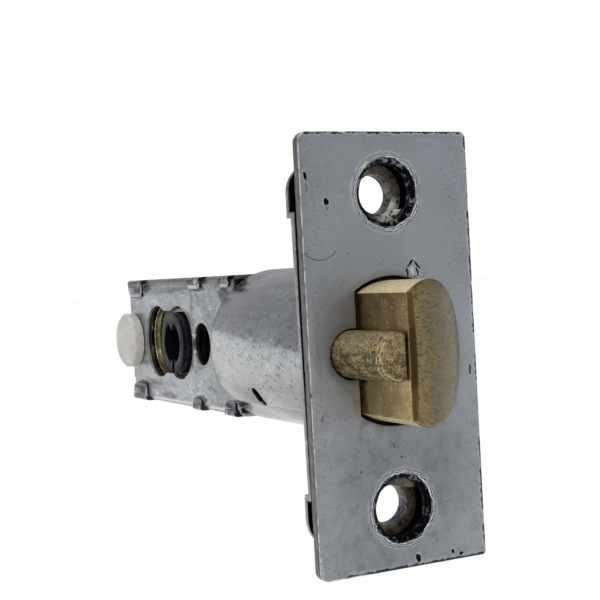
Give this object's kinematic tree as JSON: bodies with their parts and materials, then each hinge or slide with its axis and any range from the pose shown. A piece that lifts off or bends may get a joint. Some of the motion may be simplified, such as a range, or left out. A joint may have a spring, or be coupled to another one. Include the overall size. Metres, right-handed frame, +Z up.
{
  "type": "adjustable door latch",
  "caption": "Tubular spring latch with a bevelled brass bolt, a guard bolt, a square-cornered faceplate and a folded rear case with a spindle hub that sets to either backset.",
  "frame": {"origin": "centre of the faceplate's front face, which is the plane of the door's edge", "axes": "+Y from the faceplate into the door, along the latch's axis; +Z up along the faceplate; +X across the door's edge, away from the button's side"},
  "size_m": [0.0254, 0.0982, 0.0572],
  "materials": {
    "plated_steel": "worn plated sheet",
    "galvanised_steel": "spangled zinc coat",
    "chromated_steel": "yellow passivated sheet",
    "spring_steel": "plain",
    "bolt_brass": "brushed",
    "guard_brass": "cast",
    "black_hub": "matte black",
    "white_plastic": "moulded"
  },
  "bodies": {
    "case": {"faceplate": "plated_steel", "back_plate": "galvanised_steel", "housing_tube": "galvanised_steel", "spring_seat": "chromated_steel", "deadlock_leaf": "spring_steel", "case_shell": "galvanised_steel", "case_back": "galvanised_steel", "near_guide_plate": "chromated_steel", "far_guide_plate": "chromated_steel", "detent_spring": "spring_steel", "detent_rivet": "spring_steel", "latch_spring": "spring_steel", "guard_spring": "spring_steel"},
    "latch": {"latch_bolt": "bolt_brass", "latch_tail": "spring_steel", "bolt_pin": "spring_steel", "tail_pin": "spring_steel"},
    "guard": {"guard_bolt": "guard_brass"},
    "carriage": {"near_carriage_plate": "chromated_steel", "far_carriage_plate": "chromated_steel", "upper_carriage_post": "spring_steel", "lower_carriage_post": "spring_steel", "backset_button": "white_plastic"},
    "yoke": {"near_yoke_plate": "spring_steel", "far_yoke_plate": "spring_steel", "upper_strap_rivet": "spring_steel", "lower_strap_rivet": "spring_steel", "upper_bridge_rivet": "spring_steel", "lower_bridge_rivet": "spring_steel", "backset_catch": "spring_steel", "catch_rivet": "spring_steel"},
    "hub": {"hub": "black_hub"}
  },
  "joints": [
    {"name": "latch_slide", "type": "slide", "parent": "case", "child": "latch", "axis": [0, 1, 0], "range_m": [0, 0.0115], "stiffness_N_per_m": 400, "springref_m": -0.012, "deforming": ["latch_spring"]},
    {"name": "guard_slide", "type": "slide", "parent": "case", "child": "guard", "axis": [0, 1, 0], "range_m": [0, 0.0113], "stiffness_N_per_m": 120, "springref_m": -0.01, "deforming": ["guard_spring"]},
    {"name": "backset_slide", "type": "slide", "parent": "case", "child": "carriage", "axis": [0, 1, 0], "range_m": [0, 0.00955], "deforming": ["detent_spring", "backset_catch"]},
    {"name": "hub_turn", "type": "hinge", "parent": "carriage", "child": "hub", "pos_m": [0, 0.0603, 0], "axis": [-1, 0, 0], "range_deg": [0, 82]},
    {"name": "yoke_slide", "type": "slide", "parent": "carriage", "child": "yoke", "axis": [0, 1, 0], "range_m": [0, 0.0116]}
  ],
  "couplings": [
    {"joint": "hub_turn", "follows": "latch_slide", "rad_per_m": 124.4},
    {"joint": "yoke_slide", "follows": "latch_slide", "ratio": 1}
  ]
}
